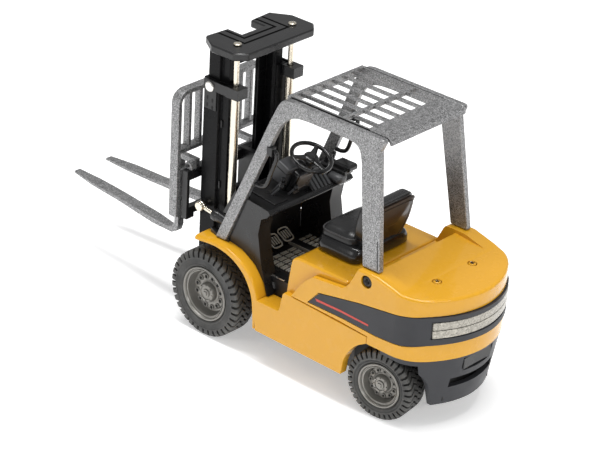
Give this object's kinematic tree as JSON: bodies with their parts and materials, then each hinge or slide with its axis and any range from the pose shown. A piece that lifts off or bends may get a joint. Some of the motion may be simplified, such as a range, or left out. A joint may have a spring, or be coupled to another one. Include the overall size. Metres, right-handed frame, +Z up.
{
  "type": "toy forklift truck",
  "caption": "Die-cast style toy counterbalance forklift with tilting two-stage mast, sliding forks, overhead guard, seat and steered rear wheels.",
  "frame": {"origin": "centre of the footprint, on the ground", "axes": "+X to the truck's left, +Y to its rear (forks point to -Y), +Z up"},
  "size_m": [0.058, 0.2099, 0.1216],
  "materials": {
    "orange_paint": "gloss",
    "silver_paint": "satin, metallic fleck",
    "satin_black": "satin",
    "mast_black": "satin",
    "charcoal_plastic": "satin",
    "lamp_grey": "satin",
    "bright_steel": "polished",
    "gunmetal": "satin metallic",
    "rubber": "matte",
    "seat_vinyl": "grained",
    "seat_shell": "satin"
  },
  "bodies": {
    "truck": {"body_shell": "orange_paint", "rear_cowl": "orange_paint", "trim_band": "charcoal_plastic", "lamp_strip_upper": "lamp_grey", "lamp_strip_lower": "lamp_grey", "rear_bumper": "charcoal_plastic", "chassis_frame": "satin_black", "front_axle": "bright_steel", "deck_screw_left": "orange_paint", "deck_screw_right": "orange_paint", "side_screw_left": "satin_black", "side_screw_right": "satin_black", "floor_mat": "satin_black", "pedal_inner": "bright_steel", "pedal_outer": "bright_steel", "dash_cowl": "satin_black", "lever_console": "satin_black", "seat_tray": "satin_black", "seat_cushion": "seat_vinyl", "seat_back": "seat_vinyl", "seat_back_panel": "seat_shell", "guard_frame_left": "silver_paint", "guard_frame_right": "silver_paint", "roof_grille": "silver_paint", "grab_handle_left": "satin_black", "grab_handle_right": "satin_black", "rear_axle_beam": "satin_black"},
    "wheel_front_left": {"front_tyre_left": "rubber", "front_rim_left": "gunmetal"},
    "wheel_front_right": {"front_tyre_right": "rubber", "front_rim_right": "gunmetal"},
    "stub_axle_left": {"knuckle_left": "bright_steel"},
    "stub_axle_right": {"knuckle_right": "bright_steel"},
    "wheel_rear_left": {"rear_tyre_left": "rubber", "rear_rim_left": "gunmetal"},
    "wheel_rear_right": {"rear_tyre_right": "rubber", "rear_rim_right": "gunmetal"},
    "link": {"steering_link": "bright_steel"},
    "hand_wheel": {"steering_wheel": "satin_black"},
    "mast": {"outer_mast": "mast_black", "lift_barrel_left": "bright_steel", "lift_barrel_right": "bright_steel", "rod_clamp_left": "satin_black", "rod_clamp_right": "satin_black", "tilt_pin_left": "bright_steel", "tilt_pin_right": "bright_steel"},
    "lift_stage": {"inner_mast": "mast_black", "mast_cap": "satin_black", "lift_rod_left": "bright_steel", "lift_rod_right": "bright_steel"},
    "fork_carrier": {"carriage": "satin_black", "load_backrest": "silver_paint"},
    "fork_l": {"fork_left": "silver_paint"},
    "fork_r": {"fork_right": "silver_paint"},
    "tilt_rod_l": {"tilt_rod_left": "bright_steel"},
    "tilt_rod_r": {"tilt_rod_right": "bright_steel"},
    "tilt_barrel_l": {"tilt_barrel_left": "satin_black"},
    "tilt_barrel_r": {"tilt_barrel_right": "satin_black"}
  },
  "joints": [
    {"name": "front_wheel_spin_left", "type": "hinge", "parent": "truck", "child": "wheel_front_left", "pos_m": [0.0234, -0.01175, 0.0181], "axis": [1, 0, 0], "continuous": true},
    {"name": "front_wheel_spin_right", "type": "hinge", "parent": "truck", "child": "wheel_front_right", "pos_m": [-0.0234, -0.01175, 0.0181], "axis": [1, 0, 0], "continuous": true},
    {"name": "steer_left", "type": "hinge", "parent": "truck", "child": "stub_axle_left", "pos_m": [0.012, 0.07495, 0.0142], "axis": [0, 0, 1], "range_deg": [-21.7, 6.3]},
    {"name": "rear_wheel_spin_left", "type": "hinge", "parent": "stub_axle_left", "child": "wheel_rear_left", "pos_m": [0.02087, 0.07615, 0.0142], "axis": [0.991, 0.134, 0], "continuous": true},
    {"name": "steer_right", "type": "hinge", "parent": "truck", "child": "stub_axle_right", "pos_m": [-0.012, 0.07495, 0.0142], "axis": [0, 0, 1], "range_deg": [-21.7, 6.3]},
    {"name": "rear_wheel_spin_right", "type": "hinge", "parent": "stub_axle_right", "child": "wheel_rear_right", "pos_m": [-0.02087, 0.07375, 0.0142], "axis": [0.991, 0.134, 0], "continuous": true},
    {"name": "steer_link_slide", "type": "slide", "parent": "truck", "child": "link", "axis": [1, 0, 0], "range_m": [-0.00082, 0.00284]},
    {"name": "hand_wheel_spin", "type": "hinge", "parent": "truck", "child": "hand_wheel", "pos_m": [0, 0.01525, 0.0782], "axis": [0, 0.3746, 0.9272], "continuous": true},
    {"name": "mast_tilt", "type": "hinge", "parent": "truck", "child": "mast", "pos_m": [0, -0.01175, 0.0181], "axis": [1, 0, 0], "range_deg": [-3, 5]},
    {"name": "lift_stage_slide", "type": "slide", "parent": "mast", "child": "lift_stage", "axis": [0, 0, 1], "range_m": [-0.005, 0.045]},
    {"name": "carriage_slide", "type": "slide", "parent": "lift_stage", "child": "fork_carrier", "axis": [0, 0, 1], "range_m": [-0.008, 0.045]},
    {"name": "fork_spread_left", "type": "slide", "parent": "fork_carrier", "child": "fork_l", "axis": [1, 0, 0], "range_m": [-0.0033, 0.005]},
    {"name": "fork_spread_right", "type": "slide", "parent": "fork_carrier", "child": "fork_r", "axis": [1, 0, 0], "range_m": [-0.005, 0.0033]},
    {"name": "tilt_barrel_swing_left", "type": "hinge", "parent": "truck", "child": "tilt_barrel_l", "pos_m": [0.0202, 0.00485, 0.0462], "axis": [1, 0, 0], "range_deg": [-1.75, 2.85]},
    {"name": "tilt_rod_swing_left", "type": "hinge", "parent": "mast", "child": "tilt_rod_l", "pos_m": [0.0202, -0.02265, 0.0502], "axis": [1, 0, 0], "range_deg": [-2.35, 1.45]},
    {"name": "tilt_barrel_swing_right", "type": "hinge", "parent": "truck", "child": "tilt_barrel_r", "pos_m": [-0.0202, 0.00485, 0.0462], "axis": [1, 0, 0], "range_deg": [-1.75, 2.85]},
    {"name": "tilt_rod_swing_right", "type": "hinge", "parent": "mast", "child": "tilt_rod_r", "pos_m": [-0.0202, -0.02265, 0.0502], "axis": [1, 0, 0], "range_deg": [-2.35, 1.45]}
  ],
  "couplings": [
    {"joint": "steer_right", "follows": "steer_left", "ratio": 1},
    {"joint": "steer_link_slide", "follows": "steer_left", "m_per_rad": -0.0075},
    {"joint": "tilt_barrel_swing_left", "follows": "mast_tilt", "ratio": 0.5527},
    {"joint": "tilt_rod_swing_left", "follows": "mast_tilt", "ratio": -0.4473},
    {"joint": "tilt_barrel_swing_right", "follows": "mast_tilt", "ratio": 0.5527},
    {"joint": "tilt_rod_swing_right", "follows": "mast_tilt", "ratio": -0.4473}
  ]
}
